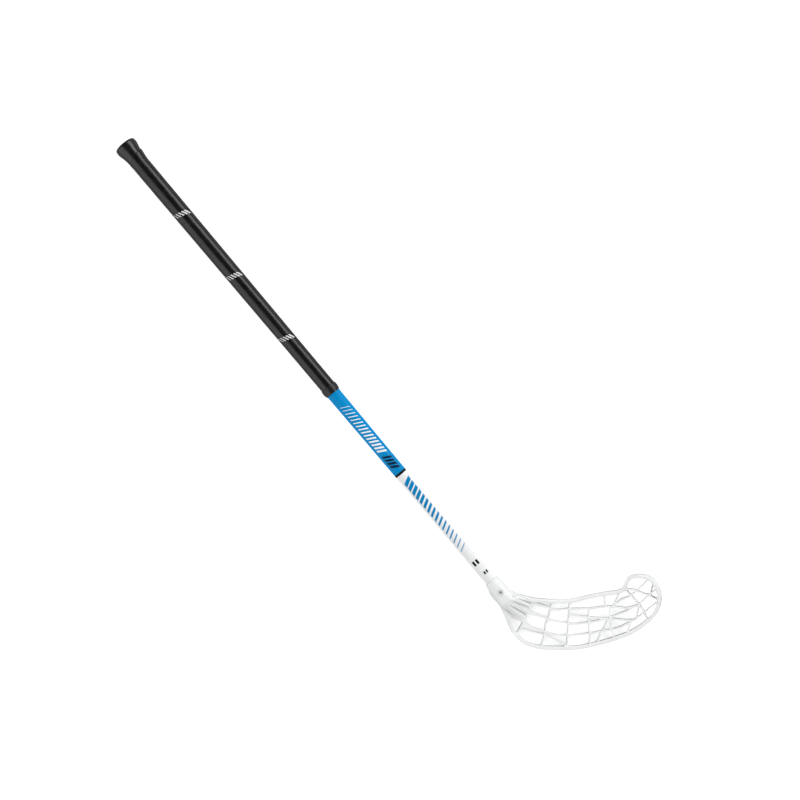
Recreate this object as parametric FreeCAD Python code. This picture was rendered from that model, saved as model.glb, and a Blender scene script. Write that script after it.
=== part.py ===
import FreeCAD, Part
import math
import os

Vector = FreeCAD.Vector

# A floorball stick that lies with the hollow face of its blade up.
# The origin is the middle of the butt face. +X runs along the shaft to the blade, +Y to the toe, +Z up.
# All sizes are in millimetres and degrees.

# Shaft, a tapered tube
shaft_length = 920.0  # from the butt face to the tip inside the blade's neck
shaft_top_diameter = 24.4
shaft_grip_end_diameter = 22.4
shaft_tip_diameter = 19.4
lacquer_thickness = 0.1  # the coat stops at the blade's neck
shaft_wall = 1.8
grip_end = 503.0  # from the butt face to the lower edge of the finishing band
taper_end = 750.0  # from here to the tip the shaft is a straight cylinder

# Fits that all pieces share
fit_clearance = 0.1
cut_overrun = 4.0

# End cap, with a flared knob, a skirt over the tube and a spigot in it
cap_flare_diameter = 34.8
cap_face_diameter = 27.0
cap_land = 3.5
cap_length = 36.0
cap_floor = 5.0
cap_crown = 7.0
cap_flare_hollow = 0.6
cap_spigot_length = 34.0
cap_spigot_wall = 2.0
cap_spigot_lead = 1.5

# Grip tape, one strip wound round the shaft as a left-hand thread
tape_thickness = 1.6
tape_width = 20.4
tape_gap = 0.6
spans_per_turn = 2
points_per_span = 9

# Finishing band over the lower end of the tape
band_length = 13.0
band_thickness = 0.6
band_bevel = 5.0
band_lip = 0.8
tape_tuck = 5.0

# Blade, one moulding with a socket for the shaft
socket_depth = 38.0
socket_wall = 1.8
neck_rise = 37.6  # from the neck's edge to where the shaft's line passes the blade's height
lie_angle = 50.0
blade_setback = 2.4  # how far the blade's own origin lies on the heel side of the shaft's line
toe_length = 174.7  # along the sole, from the shaft's line to the toe
heel_length = 77.2  # the other way, from the shaft's line to the heel
blade_height = 80.0
blade_depth = 11.0
rim_width = 6.0
rib_thickness = 2.4
finger_width = 6.5
rib_recess = 1.2
drop_delay = 20.0  # from the neck's edge to where the blade starts to drop behind the shaft
drop_length = 70.0
curl_start = 60.0
curl_radius = 350.0
curl_lean = 25.0
neck_flank = 3.5  # how far the rim stands out beside the neck at the end of the socket
slot_width = 3.4
slot_floor = 3.0
outline_samples = 72

# Blade screw with its boss
screw_from_edge = 22.0
screw_diameter = 3.5
screw_length = 12.0
screw_point = 3.0
screw_head_diameter = 7.0
screw_head_height = 1.9
screw_drive_width = 1.2
screw_drive_span = 4.0
screw_drive_depth = 1.1
boss_diameter = 11.0
boss_height = 1.6
boss_well_clearance = 0.5

# Places on the blade, each as a share along it and a share of its height.
# The first is a share of the toe's length, or where it is below zero one of the heel's length.
outline_shares = [
    (-1.0, 0.895), (-0.898, 0.712), (-0.819, 0.528), (-0.739, 0.354), (-0.6, 0.199),
    (-0.457, 0.102), (-0.257, 0.035), (0, 0.005), (0.108, 0.0), (0.285, 0.02), (0.461, 0.1),
    (0.621, 0.21), (0.754, 0.335), (0.869, 0.51), (0.954, 0.7), (0.993, 0.895), (1.0, 1.07),
    (0.975, 1.28), (0.905, 1.46), (0.825, 1.505), (0.745, 1.48), (0.691, 1.39), (0.661, 1.225),
    (0.568, 1.16), (0.461, 1.12), (0.373, 1.08), (0.24, 1.007), (0.108, 0.982), (-0.159, 1.02),
    (-0.438, 1.06), (-0.638, 1.12),
]
# Ribs that cross the blade from the top rim to the sole
cross_rib_shares = [
    [(-0.257, 0.99), (-0.327, 0.83), (-0.397, 0.72), (-0.457, 0.605), (-0.517, 0.5), (-0.578, 0.4),
     (-0.647, 0.277)],
    [(0.041, 0.953), (0.018, 0.78), (0.006, 0.625), (-0.048, 0.51), (-0.06, 0.354), (-0.133, 0.064)],
    [(0.196, 0.963), (0.187, 0.76), (0.182, 0.547), (0.174, 0.277), (0.165, 0.054)],
    [(0.358, 0.808), (0.36, 0.528), (0.373, 0.296), (0.369, 0.083)],
    [(0.491, 1.098), (0.502, 0.847)],
    [(0.55, 0.847), (0.541, 0.74), (0.546, 0.625), (0.554, 0.43), (0.586, 0.219)],
    [(0.794, 0.886), (0.78, 0.74), (0.776, 0.634)],
    [(0.728, 0.557), (0.696, 0.335)],
]
# Ribs that run the length of the blade from the fan to the toe
long_rib_shares = [
    [(0.001, 0.828), (0.072, 0.78), (0.178, 0.8), (0.373, 0.808), (0.506, 0.847), (0.595, 0.837),
     (0.683, 0.818), (0.79, 0.886)],
    [(-0.057, 0.625), (0.072, 0.567), (0.178, 0.518), (0.266, 0.509), (0.365, 0.538), (0.461, 0.58),
     (0.529, 0.615), (0.568, 0.654), (0.683, 0.76), (0.79, 0.89), (0.86, 1.05), (0.886, 1.127),
     (0.912, 1.345)],
    [(0.187, 0.712), (0.285, 0.654), (0.461, 0.619), (0.529, 0.615), (0.683, 0.586), (0.745, 0.586)],
    [(-0.317, 0.45), (-0.057, 0.354), (0.108, 0.286), (0.24, 0.296), (0.373, 0.325), (0.488, 0.373),
     (0.568, 0.402), (0.638, 0.451), (0.728, 0.557), (0.798, 0.663), (0.886, 0.837), (0.968, 0.99)],
    [(-0.559, 0.43), (-0.359, 0.367), (-0.057, 0.296), (0.063, 0.199), (0.187, 0.054)],
]
# Ribs that brace the toe and the last bay at the sole
brace_rib_shares = [
    [(0.627, 1.15), (0.607, 1.03), (0.565, 0.842)],
    [(0.529, 0.615), (0.496, 0.43), (0.466, 0.335), (0.435, 0.131)],
    [(0.865, 1.4), (0.833, 1.3), (0.78, 1.185), (0.725, 1.064), (0.638, 0.982), (0.565, 0.842)],
    [(0.666, 1.195), (0.745, 1.18), (0.86, 1.089), (0.968, 0.985)],
    [(0.666, 1.195), (0.725, 1.064), (0.785, 0.915), (0.829, 0.78), (0.872, 0.56)],
    [(0.882, 1.069), (0.947, 1.26)],
]
# Broad fingers that carry the fan into the long ribs, each from its wide end to its narrow end
finger_shares = [
    [(-0.378, 0.924), (0.001, 0.828)],
    [(-0.479, 0.77), (-0.057, 0.625)],
    [(-0.54, 0.615), (-0.317, 0.45)],
]
# Far end of the fan at the first cross rib, top and bottom, and the web's edge beside the heel opening
fan_top_share = (-0.279, 0.963)
fan_bottom_share = (-0.508, 0.576)
fan_waist_top_share = (-0.476, 1.02)
fan_waist_bottom_share = (-0.714, 0.72)
web_edge_shares = [
    (-0.267, 0.99), (-0.327, 0.83), (-0.397, 0.72), (-0.457, 0.605), (-0.498, 0.54), (-0.809, 0.655),
    (-0.99, 0.953),
]
web_top_shares = [(-0.758, 1.127), (-0.559, 1.04)]
# Slots sunk in the fan, each from its end near the neck to its end at the first cross rib
slot_shares = [
    [(-0.705, 1.045), (-0.355, 0.905)],
    [(-0.689, 0.944), (-0.406, 0.82)],
    [(-0.758, 0.866), (-0.47, 0.7)],
]
# Height of the fan's waist between the neck and the first cross rib
waist_share = 0.5

# Places worked out from the sizes
floor_z = -cap_flare_diameter / 2.0
neck_x = shaft_length - socket_depth
seat_diameter = shaft_tip_diameter - 2.0 * lacquer_thickness
neck_radius = seat_diameter / 2.0 + fit_clearance + socket_wall
screw_x = neck_x + screw_from_edge
socket_end_x = shaft_length + fit_clearance
tape_start = cap_length + fit_clearance
band_start = grip_end - band_length
tape_end = band_start + tape_tuck
tape_pitch = tape_width + tape_gap
drop_start_x = neck_x + drop_delay
drop_end_x = drop_start_x + drop_length
drop_height = -blade_depth / 2.0 - floor_z
drop_radius = (drop_length ** 2 + drop_height ** 2) / (4.0 * drop_height)
drop_angle = math.asin(drop_length / (2.0 * drop_radius))
lie = math.radians(lie_angle)
sole_x = neck_x + neck_rise + blade_height / math.sin(lie)
blade_length = toe_length + heel_length
lean = math.radians(lie_angle + curl_lean)
curl_way = Vector(math.cos(lean), math.sin(lean), 0.0)
up = Vector(0.0, 0.0, 1.0)
shaft_way = Vector(1.0, 0.0, 0.0)


def shaft_radius(x):
    """Outer radius of the shaft at a distance from the butt face."""
    top = shaft_top_diameter / 2.0
    middle = shaft_grip_end_diameter / 2.0
    tip = shaft_tip_diameter / 2.0
    if x < grip_end:
        return top + (middle - top) * x / grip_end
    if x < taper_end:
        return middle + (tip - middle) * (x - grip_end) / (taper_end - grip_end)
    return tip


def turned(edges):
    """Solid made by turning a closed profile in the XY plane about the shaft's line."""
    profile = Part.Face(Part.Wire(edges))
    return profile.revolve(Vector(), shaft_way, 360.0)


def path_edges(points):
    """Straight edges through points given as (distance along the shaft, radius)."""
    places = [Vector(x, radius, 0.0) for x, radius in points]
    return [Part.makeLine(first, second) for first, second in zip(places, places[1:])]


def make_shaft():
    seat = seat_diameter / 2.0
    outer = [(cap_floor, shaft_radius(cap_floor)), (grip_end, shaft_radius(grip_end)),
             (taper_end, shaft_radius(taper_end)), (shaft_length, shaft_radius(shaft_length))]
    inner = [(x, radius - shaft_wall) for x, radius in reversed(outer)]
    tip = [(neck_x, shaft_radius(neck_x)), (neck_x, seat), (shaft_length, seat)]
    tube = turned(path_edges(outer[:-1] + tip + inner + outer[:1]))
    hole = Part.makeCylinder(screw_diameter / 2.0 + fit_clearance, neck_radius,
                             Vector(screw_x, 0.0, 0.0), up)
    return tube.cut(hole)


def make_end_cap():
    flare = cap_flare_diameter / 2.0
    face = cap_face_diameter / 2.0
    edge = flare - face
    land_end = edge + cap_land
    skirt = shaft_radius(cap_length) + fit_clearance
    skirt_outer = skirt + tape_thickness
    seat = shaft_radius(cap_floor) + fit_clearance
    spigot = shaft_radius(cap_length) - shaft_wall - fit_clearance
    spigot_end = cap_floor + cap_spigot_length
    cup = spigot - cap_spigot_wall
    turn = edge * math.sin(math.radians(45.0))
    shoulder = Part.Arc(Vector(0.0, face, 0.0), Vector(edge - turn, face + turn, 0.0),
                        Vector(edge, flare, 0.0))
    middle = Vector((land_end + cap_length) / 2.0, (flare + skirt_outer) / 2.0 - cap_flare_hollow, 0.0)
    taper = Part.Arc(Vector(land_end, flare, 0.0), middle, Vector(cap_length, skirt_outer, 0.0))
    edges = path_edges([(0.0, 0.0), (0.0, face)])
    edges.append(shoulder.toShape())
    edges += path_edges([(edge, flare), (land_end, flare)])
    edges.append(taper.toShape())
    edges += path_edges([
        (cap_length, skirt_outer), (cap_length, skirt), (cap_floor, seat), (cap_floor, spigot),
        (spigot_end - cap_spigot_lead, spigot), (spigot_end, spigot - cap_spigot_lead / 2.0),
        (spigot_end, cup), (cap_crown, cup), (cap_crown, 0.0), (0.0, 0.0),
    ])
    return turned(edges)


def tape_point(turn, across, lift):
    """Point on the wound tape, after some turns, at a place across its width and a height in it."""
    x = tape_start + turn * tape_pitch + across
    radius = shaft_radius(x) + fit_clearance + lift
    angle = 2.0 * math.pi * turn
    return Vector(x, radius * math.cos(angle), -radius * math.sin(angle))


def tape_edge(span, across, lift):
    """Smooth edge along one span of a turn."""
    turns = [(span + step / (points_per_span - 1)) / spans_per_turn for step in range(points_per_span)]
    curve = Part.BSplineCurve()
    curve.interpolate([tape_point(turn, across, lift) for turn in turns])
    return curve.toShape()


def make_grip_tape():
    """One strip, wound from a turn before its cut start to a turn past its cut end, then trimmed square."""
    first_span = -spans_per_turn
    last_span = spans_per_turn * math.ceil((tape_end - tape_start) / tape_pitch)
    same_way = 1  # both edges of a ruled face run the same way
    faces = []
    for span in range(first_span, last_span):
        inner_start = tape_edge(span, 0.0, 0.0)
        inner_end = tape_edge(span, tape_width, 0.0)
        outer_start = tape_edge(span, 0.0, tape_thickness)
        outer_end = tape_edge(span, tape_width, tape_thickness)
        faces.append(Part.makeRuledSurface(inner_start, inner_end, same_way))
        faces.append(Part.makeRuledSurface(outer_start, outer_end, same_way))
        faces.append(Part.makeRuledSurface(inner_start, outer_start, same_way))
        faces.append(Part.makeRuledSurface(inner_end, outer_end, same_way))
    for span in (first_span, last_span):
        turn = span / spans_per_turn
        corners = [(0.0, 0.0), (tape_width, 0.0), (tape_width, tape_thickness), (0.0, tape_thickness)]
        places = [tape_point(turn, across, lift) for across, lift in corners]
        faces.append(Part.Face(Part.makePolygon(places + places[:1])))
    shell = Part.makeShell(faces)
    shell.sewShape()
    strip = Part.makeSolid(shell)
    if strip.Volume < 0.0:
        strip.reverse()
    room = Part.makeCylinder(cap_flare_diameter, tape_end - tape_start,
                             Vector(tape_start, 0.0, 0.0), shaft_way)
    return strip.common(room)


def print_tape_gap():
    """Measures the least gap between one turn's lower edge and the next turn's upper edge, on points."""
    turns = math.floor((tape_end - tape_start) / tape_pitch)
    steps = [step / points_per_span for step in range(turns * points_per_span)]
    lower = [tape_point(turn, tape_width, tape_thickness) for turn in steps]
    upper = [tape_point(turn + 1.0, 0.0, tape_thickness) for turn in steps]
    least = min(here.distanceToPoint(there) for here, there in zip(lower, upper))
    print(f"grip tape: {(tape_end - tape_start) / tape_pitch:.1f} loops, least gap {least:.2f} mm")


def make_finishing_band():
    over_tape = shaft_radius(band_start) + fit_clearance + tape_thickness + fit_clearance
    outer = over_tape + band_thickness
    step_x = tape_end + fit_clearance
    on_shaft = shaft_radius(step_x) + fit_clearance
    profile = [
        (band_start, over_tape), (band_start, outer), (grip_end - band_bevel, outer),
        (grip_end, shaft_radius(grip_end) + fit_clearance + band_lip),
        (grip_end, shaft_radius(grip_end) + fit_clearance), (step_x, on_shaft), (step_x, over_tape),
        (band_start, over_tape),
    ]
    return turned(path_edges(profile))


def plan(share):
    """Place on the blade, seen from above, from its shares of length and height."""
    reach = toe_length if share[0] > 0.0 else heel_length
    along = share[0] * reach - blade_setback
    high = share[1] * blade_height
    x = sole_x + along * math.cos(lie) - high * math.sin(lie)
    y = along * math.sin(lie) + high * math.cos(lie)
    return Vector(x, y, 0.0)


def on_blade(place, depth):
    """Point above a place, at a depth in front of the blade's back, and the blade's facing there."""
    along_curl = (place.sub(Vector(sole_x, 0.0, 0.0))).dot(curl_way)
    if along_curl > curl_start:
        angle = math.asin((along_curl - curl_start) / (curl_radius - depth))
        z = floor_z + curl_radius - (curl_radius - depth) * math.cos(angle)
        facing = up * math.cos(angle) - curl_way * math.sin(angle)
        return Vector(place.x, place.y, z), facing
    if place.x < drop_start_x:
        return Vector(place.x, place.y, floor_z + drop_height + depth), up
    if place.x < drop_start_x + (drop_radius + depth) * math.sin(drop_angle):
        angle = math.asin((place.x - drop_start_x) / (drop_radius + depth))
        z = floor_z + drop_height - drop_radius + (drop_radius + depth) * math.cos(angle)
        return Vector(place.x, place.y, z), up * math.cos(angle) + shaft_way * math.sin(angle)
    if place.x < drop_end_x:
        angle = math.asin((drop_end_x - place.x) / (drop_radius - depth))
        z = floor_z + drop_radius - (drop_radius - depth) * math.cos(angle)
        return Vector(place.x, place.y, z), up * math.cos(angle) + shaft_way * math.sin(angle)
    return Vector(place.x, place.y, floor_z + depth), up


def neck_profile(depth):
    """Edges of the dropped profile beside the neck at one depth, from the neck towards the sole."""
    high = floor_z + drop_height
    first = drop_radius + depth
    second = drop_radius - depth
    half = drop_angle / 2.0
    start = Vector(neck_x, 0.0, high + depth)
    bend = Vector(drop_start_x, 0.0, high + depth)
    first_middle = Vector(drop_start_x + first * math.sin(half), 0.0,
                          high - drop_radius + first * math.cos(half))
    turn = Vector(drop_start_x + first * math.sin(drop_angle), 0.0,
                  high - drop_radius + first * math.cos(drop_angle))
    second_middle = Vector(drop_end_x - second * math.sin(half), 0.0,
                           floor_z + drop_radius - second * math.cos(half))
    end = Vector(drop_end_x, 0.0, floor_z + depth)
    return [Part.makeLine(start, bend), Part.Arc(bend, first_middle, turn).toShape(),
            Part.Arc(turn, second_middle, end).toShape()]


def curl_profile(depth):
    """Edges of the curled profile at one depth, from the flat middle towards the toe."""
    radius = curl_radius - depth
    toe_angle = 2.0 * math.asin(blade_length / 2.0 / curl_radius)
    origin = Vector(sole_x, 0.0, floor_z + depth)
    middle = Vector(sole_x, 0.0, floor_z + curl_radius)
    middle += curl_way * curl_start
    half = toe_angle / 2.0
    half_way = middle + curl_way * radius * math.sin(half) - up * radius * math.cos(half)
    toe = middle + curl_way * radius * math.sin(toe_angle) - up * radius * math.cos(toe_angle)
    start = origin - curl_way * blade_length
    bend = origin + curl_way * curl_start
    return [Part.makeLine(start, bend), Part.Arc(bend, half_way, toe).toShape()]


def closed_face(low_edges, high_edges):
    """Face between two rows of edges that run the same way."""
    low_start = low_edges[0].Vertexes[0].Point
    low_end = low_edges[-1].Vertexes[-1].Point
    high_start = high_edges[0].Vertexes[0].Point
    high_end = high_edges[-1].Vertexes[-1].Point
    ends = [Part.makeLine(low_end, high_end), Part.makeLine(high_start, low_start)]
    return Part.Face(Part.Wire(Part.__sortEdges__(low_edges + high_edges + ends)))


def blade_sheet(low, high):
    """Everything between two depths of the dropped and curled blade, wider than its outline."""
    across = Vector(0.0, 2.0 * blade_length, 0.0)
    neck_face = closed_face(neck_profile(low), neck_profile(high))
    neck_face.translate(across * -0.5)
    neck_side = neck_face.extrude(across)
    along = up.cross(curl_way) * 2.0 * blade_length
    toe_face = closed_face(curl_profile(low), curl_profile(high))
    toe_face.translate(along * -0.5)
    toe_side = toe_face.extrude(along)
    room = Part.makeBox(2.0 * blade_length, 4.0 * blade_length, 2.0 * blade_length,
                        Vector(drop_end_x, -2.0 * blade_length, floor_z - blade_length))
    return neck_side.fuse(toe_side.common(room)).removeSplitter()


def blade_outline():
    """Closed smooth outline of the blade, seen from above, starting and ending on the neck's sides."""
    narrow = neck_radius - neck_flank / 2.0
    wide = neck_radius + neck_flank
    left = [Vector(neck_x + neck_flank, -narrow, 0.0), Vector(socket_end_x - neck_flank, -wide, 0.0)]
    right = [Vector(socket_end_x - neck_flank, wide, 0.0), Vector(neck_x + neck_flank, narrow, 0.0)]
    curve = Part.BSplineCurve()
    curve.interpolate(left + [plan(share) for share in outline_shares] + right, PeriodicFlag=True)
    return curve


def outline_solid(outline, inset):
    """Solid inside the outline, drawn in by an inset, whose walls stand square to the blade's face."""
    rays = []
    for step in range(outline_samples):
        share = step / outline_samples
        at = outline.FirstParameter + (outline.LastParameter - outline.FirstParameter) * share
        inward = up.cross(outline.tangent(at)[0])
        rays.append(on_blade(outline.value(at) + inward * inset, 0.0))
    low = floor_z - cut_overrun
    high = max(place.z for place, facing in rays) + blade_depth + cut_overrun
    wires = []
    for z in (low, high):
        curve = Part.BSplineCurve()
        points = [place + facing * ((z - place.z) / facing.z) for place, facing in rays]
        curve.interpolate(points, PeriodicFlag=True)
        wires.append(Part.Wire(curve.toShape()))
    return Part.makeLoft(wires, True, True)


def rib_walls(shares, start_width, end_width):
    """Upright walls along one rib, square to the blade's face, each reaching into the next."""
    walls = []
    places = [on_blade(plan(share), blade_depth) for share in shares]
    spans = len(places) - 1
    for span in range(spans):
        start, start_facing = places[span]
        end, end_facing = places[span + 1]
        facing = (start_facing + end_facing).normalize()
        way = end - start
        way = (way - facing * way.dot(facing)).normalize()
        side = facing.cross(way)
        first = (start_width + (end_width - start_width) * span / spans) / 2.0
        second = (start_width + (end_width - start_width) * (span + 1) / spans) / 2.0
        near = start - way * rib_thickness / 2.0 - facing * (blade_depth + cut_overrun)
        far = end + way * rib_thickness / 2.0 - facing * (blade_depth + cut_overrun)
        corners = [near + side * first, near - side * first, far - side * second, far + side * second]
        base = Part.Face(Part.makePolygon(corners + corners[:1]))
        walls.append(base.extrude(facing * (blade_depth + 2.0 * cut_overrun)))
    return walls


def make_ribs(sheet):
    walls = []
    for shares in cross_rib_shares + long_rib_shares + brace_rib_shares:
        walls += rib_walls(shares, rib_thickness, rib_thickness)
    for shares in finger_shares:
        walls += rib_walls(shares, finger_width, rib_thickness)
    return walls[0].fuse(walls[1:]).common(sheet)


def make_web(sheet):
    """Thin wall that fills the heel between the neck, the rim and the first cross rib."""
    places = [plan(share) for share in web_edge_shares]
    places += [Vector(socket_end_x, -neck_radius + neck_flank, 0.0),
               Vector(socket_end_x, neck_radius - neck_flank, 0.0)]
    places += [plan(share) for share in web_top_shares]
    base = Part.Face(Part.makePolygon(places + places[:1]))
    base.translate(up * (floor_z - cut_overrun))
    return base.extrude(up * (cap_flare_diameter + 2.0 * cut_overrun)).common(sheet)


def fan_section(top, bottom, low, high, corner):
    """Rounded rectangle in the upright plane through two places."""
    side = top - bottom
    width = side.Length
    side.normalize()
    height = high - low
    base = bottom + up * low
    turn = corner * (1.0 - math.cos(math.radians(45.0)))
    straight = [((corner, 0.0), (width - corner, 0.0)), ((width, corner), (width, height - corner)),
                ((width - corner, height), (corner, height)), ((0.0, height - corner), (0.0, corner))]
    bends = [(width - turn, turn), (width - turn, height - turn), (turn, height - turn), (turn, turn)]
    edges = []
    for index, (start, end) in enumerate(straight):
        following = straight[(index + 1) % len(straight)][0]
        points = [base + side * a + up * b for a, b in (start, end, bends[index], following)]
        edges.append(Part.makeLine(points[0], points[1]))
        edges.append(Part.Arc(points[1], points[2], points[3]).toShape())
    return Part.Wire(edges)


def make_neck_and_fan():
    """Solid neck, round at the shaft, and the solid fan that it spreads into at the first cross rib."""
    round_corner = neck_radius - rib_recess / 4.0
    socket_x = socket_end_x + socket_wall
    low_front = floor_z + blade_depth - rib_recess / 2.0
    low_back = floor_z + rib_recess / 2.0
    waist_front = neck_radius + (low_front - neck_radius) * waist_share
    waist_back = -neck_radius + (low_back + neck_radius) * waist_share
    side = Vector(0.0, neck_radius, 0.0)
    flank = Vector(0.0, neck_radius + neck_flank / 2.0, 0.0)
    edge = Vector(neck_x, 0.0, 0.0)
    end = Vector(socket_x, 0.0, 0.0)
    mouth = fan_section(edge + side, edge - side, -neck_radius, neck_radius, round_corner)
    shoulder = fan_section(end + flank, end - flank, -neck_radius, neck_radius, round_corner)
    waist = fan_section(plan(fan_waist_top_share), plan(fan_waist_bottom_share), waist_back, waist_front,
                        blade_depth / 2.0)
    foot = fan_section(plan(fan_top_share), plan(fan_bottom_share), low_back, low_front, rim_width / 2.0)
    neck = Part.makeLoft([mouth, shoulder], True, True)
    return [neck, Part.makeLoft([shoulder, waist, foot], True, False)]


def slot_place(share):
    """Place on the floor of a slot, which follows the fan's back from the neck to the first cross rib."""
    place = plan(share)
    fallen = (place.x - socket_end_x) / (plan(fan_bottom_share).x - socket_end_x)
    drop = floor_z + rib_recess / 2.0 + neck_radius
    return place + up * (drop * fallen - neck_radius + slot_floor)


def make_slots():
    """Pockets sunk into the fan from the front, with round ends."""
    cutters = []
    for start_share, end_share in slot_shares:
        start = slot_place(start_share)
        end = slot_place(end_share)
        way = (end - start).normalize()
        side = up.cross(way).normalize() * slot_width / 2.0
        cap = way * slot_width / 2.0
        edges = [
            Part.makeLine(start + side, end + side),
            Part.Arc(end + side, end + cap, end - side).toShape(),
            Part.makeLine(end - side, start - side),
            Part.Arc(start - side, start - cap, start + side).toShape(),
        ]
        cutters.append(Part.Face(Part.Wire(edges)).extrude(up * cap_flare_diameter))
    return cutters


def make_blade():
    outline = blade_outline()
    rim_sheet = blade_sheet(0.0, blade_depth)
    rib_sheet = blade_sheet(rib_recess, blade_depth - rib_recess)
    rim = rim_sheet.common(outline_solid(outline, 0.0)).cut(outline_solid(outline, rim_width))
    boss = Part.makeCylinder(boss_diameter / 2.0, neck_radius + boss_height, Vector(screw_x, 0.0, 0.0), up)
    neck, fan = make_neck_and_fan()
    moulding = rim.fuse([neck, fan, boss, make_web(rib_sheet), make_ribs(rib_sheet)])
    seat_z = neck_radius + boss_height - screw_head_height
    socket = Part.makeCylinder(seat_diameter / 2.0 + fit_clearance, socket_end_x - neck_x + cut_overrun,
                               Vector(neck_x - cut_overrun, 0.0, 0.0), shaft_way)
    well = Part.makeCylinder(screw_head_diameter / 2.0 + boss_well_clearance, cut_overrun,
                             Vector(screw_x, 0.0, seat_z), up)
    hole = Part.makeCylinder(screw_diameter / 2.0 + fit_clearance, neck_radius,
                             Vector(screw_x, 0.0, 0.0), up)
    return moulding.cut([socket, well, hole] + make_slots()).removeSplitter()


def make_blade_screw():
    seat_z = neck_radius + boss_height - screw_head_height
    top_z = seat_z + screw_head_height
    head = Part.makeCone(screw_head_diameter / 2.0, screw_head_diameter / 2.0 - screw_head_height / 2.0,
                         screw_head_height, Vector(screw_x, 0.0, seat_z), up)
    shank_end = seat_z - screw_length + screw_point
    shank = Part.makeCylinder(screw_diameter / 2.0, seat_z - shank_end, Vector(screw_x, 0.0, shank_end), up)
    point = Part.makeCone(0.0, screw_diameter / 2.0, screw_point,
                          Vector(screw_x, 0.0, shank_end - screw_point), up)
    drive = []
    for span_x, span_y in ((screw_drive_span, screw_drive_width), (screw_drive_width, screw_drive_span)):
        corner = Vector(screw_x - span_x / 2.0, -span_y / 2.0, top_z - screw_drive_depth)
        drive.append(Part.makeBox(span_x, span_y, screw_drive_depth + cut_overrun, corner))
    return head.fuse([shank, point]).cut(drive).removeSplitter()


def main():
    os.makedirs("parts", exist_ok=True)
    pieces = {
        "shaft": make_shaft(),
        "end_cap": make_end_cap(),
        "grip_tape": make_grip_tape(),
        "finishing_band": make_finishing_band(),
        "blade": make_blade(),
        "blade_screw": make_blade_screw(),
    }
    print_tape_gap()
    for name, shape in pieces.items():
        shape.exportStep(f"parts/{name}.step")
        box = shape.optimalBoundingBox()
        print(f"{name}: {len(shape.Solids)} solid, valid {shape.isValid()},"
              f" {shape.Volume / 1000.0:.1f} cm3, x {box.XMin:.1f} to {box.XMax:.1f},"
              f" y {box.YMin:.1f} to {box.YMax:.1f}, z {box.ZMin:.1f} to {box.ZMax:.1f}")


main()
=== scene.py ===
# %% [markdown]
# # A floorball stick, from its solids to a studio picture
# The stick is six pieces: a tapered tube, a flared end cap, a wound grip tape, a short finishing band,
# a moulded blade and its screw. The solids arrive at their true size and place, in metres, and stay put.
# Each step below gives one piece its visible shape or one surface its finish, and prints what it made.

# %% Load the solids
import math

import bmesh
import bpy
import numpy as np
from mathutils import Matrix, Vector


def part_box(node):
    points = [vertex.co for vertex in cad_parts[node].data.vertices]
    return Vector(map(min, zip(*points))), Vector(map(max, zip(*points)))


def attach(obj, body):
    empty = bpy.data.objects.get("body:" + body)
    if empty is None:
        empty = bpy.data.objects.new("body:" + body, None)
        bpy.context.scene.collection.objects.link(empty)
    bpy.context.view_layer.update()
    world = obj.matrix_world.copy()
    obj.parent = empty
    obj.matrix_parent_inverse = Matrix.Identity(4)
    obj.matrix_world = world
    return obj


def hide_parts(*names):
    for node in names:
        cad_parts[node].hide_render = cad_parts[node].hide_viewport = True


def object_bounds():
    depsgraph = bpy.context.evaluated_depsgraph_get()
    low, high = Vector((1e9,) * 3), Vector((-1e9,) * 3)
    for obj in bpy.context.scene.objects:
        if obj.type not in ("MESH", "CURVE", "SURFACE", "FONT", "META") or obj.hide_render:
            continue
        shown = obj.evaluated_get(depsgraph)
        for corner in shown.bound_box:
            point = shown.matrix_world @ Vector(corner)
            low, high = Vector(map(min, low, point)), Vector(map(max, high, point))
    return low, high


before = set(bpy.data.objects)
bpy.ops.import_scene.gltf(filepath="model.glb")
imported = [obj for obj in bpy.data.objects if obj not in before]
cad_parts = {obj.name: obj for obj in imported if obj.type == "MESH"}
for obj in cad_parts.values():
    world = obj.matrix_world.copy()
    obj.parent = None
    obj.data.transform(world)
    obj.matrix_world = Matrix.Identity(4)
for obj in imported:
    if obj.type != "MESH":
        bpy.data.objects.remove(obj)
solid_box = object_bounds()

scene = bpy.context.scene
mm = 0.001
print("solids:", ", ".join(sorted(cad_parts)))

# %% [markdown]
# ## Reading sizes off the solids
# Typing a diameter twice is how two pieces stop fitting. A turned piece has all its corners on rings round
# the shaft's line. The rings whose surface faces away from that line are the outside, and their radii give
# the outer profile back. Any radius in between is a straight interpolation.

# %% Measure the turned solids
outward_share = 0.1  # a corner of the outside faces away from the shaft's line at least this squarely
ring_digits = 5  # corners whose distances agree to this many decimals of a metre are on one ring


def outer_profile(node, core=0.0):
    """Distances along the shaft and the outer radius of a turned solid there, leaving out its core."""
    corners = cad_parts[node].data.vertices
    points = np.array([corner.co for corner in corners])
    normals = np.array([corner.normal for corner in corners])
    radii = np.hypot(points[:, 1], points[:, 2])
    facing_out = (points[:, 1:] * normals[:, 1:]).sum(axis=1) > outward_share * radii
    outside = facing_out & (radii > core)
    distances = np.round(points[outside, 0], ring_digits)
    radii = radii[outside]
    stations = np.unique(distances)
    return stations, np.array([radii[distances == station].max() for station in stations])


shaft_stations, shaft_radii = outer_profile("shaft")
cap_stations, cap_radii = outer_profile("end_cap", core=shaft_radii.max())
band_stations, band_radii = outer_profile("finishing_band")


def shaft_radius(x):
    return float(np.interp(x, shaft_stations, shaft_radii))


def cap_radius(x):
    return float(np.interp(x, cap_stations, cap_radii))


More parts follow.
